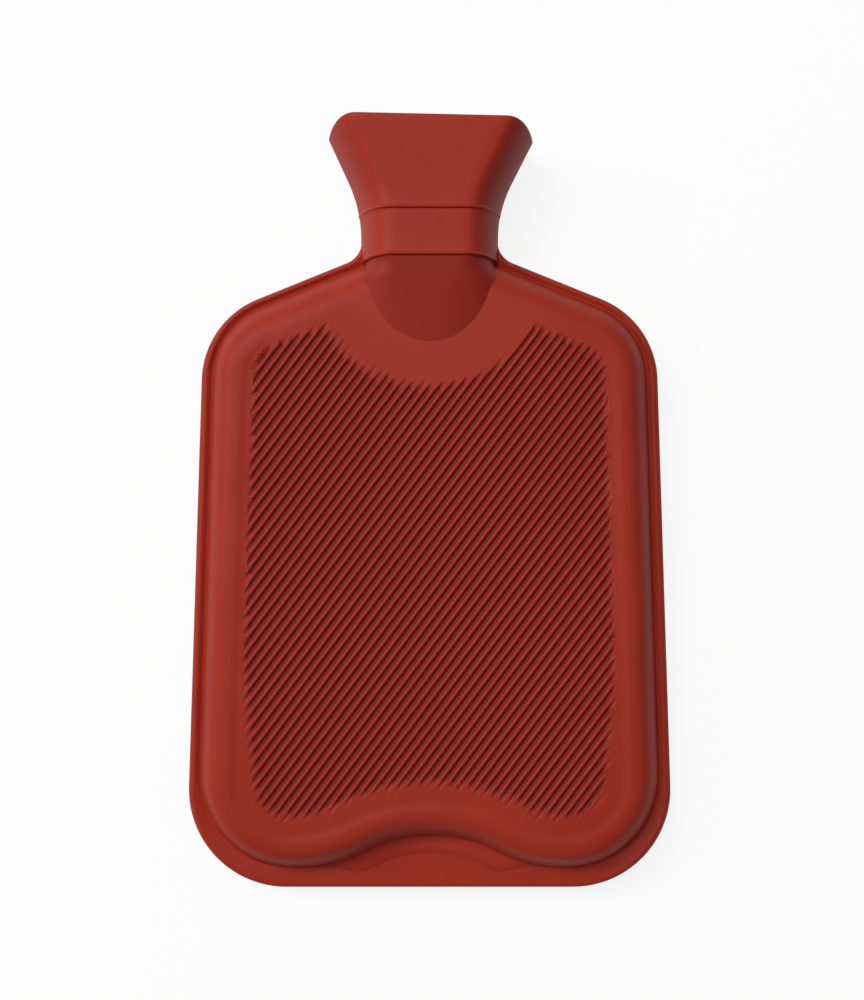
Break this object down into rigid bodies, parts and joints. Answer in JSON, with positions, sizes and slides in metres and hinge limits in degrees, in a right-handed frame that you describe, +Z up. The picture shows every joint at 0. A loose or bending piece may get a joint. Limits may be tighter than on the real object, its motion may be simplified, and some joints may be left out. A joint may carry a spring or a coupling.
{
  "type": "hot water bottle",
  "caption": "Moulded rubber hot water bottle with diagonal ribbed panels, arched foot, banded neck, flared filling mouth and a screw stopper.",
  "frame": {"origin": "centre of the bottle's bounding box, on the table that it lies on", "axes": "lying on its back, +Z up through the front panel, +Y towards the filling mouth, +X to the right seen from the front; the mid-plane rises 1.7 degrees towards the mouth, because the mouth is deeper than the chamber"},
  "size_m": [0.2048, 0.3236, 0.0508],
  "materials": {
    "bottle_rubber": "satin",
    "brass": "turned",
    "stopper_plastic": "moulded",
    "washer_rubber": "matt"
  },
  "bodies": {
    "bottle": {"bottle_body": "bottle_rubber", "neck_insert": "brass"},
    "washer": {"stopper_washer": "washer_rubber"},
    "stopper": {"stopper": "stopper_plastic"}
  },
  "joints": [
    {"name": "stopper_rise", "type": "slide", "parent": "bottle", "child": "washer", "axis": [0, 0.9996, 0.0292], "range_m": [0, 0.012]},
    {"name": "stopper_turn", "type": "hinge", "parent": "washer", "child": "stopper", "pos_m": [0, 0.124, 0.02436], "axis": [0, 0.9996, 0.0292], "range_deg": [0, 1080]}
  ],
  "couplings": [
    {"joint": "stopper_rise", "follows": "stopper_turn", "m_per_rad": 0.00063662}
  ]
}
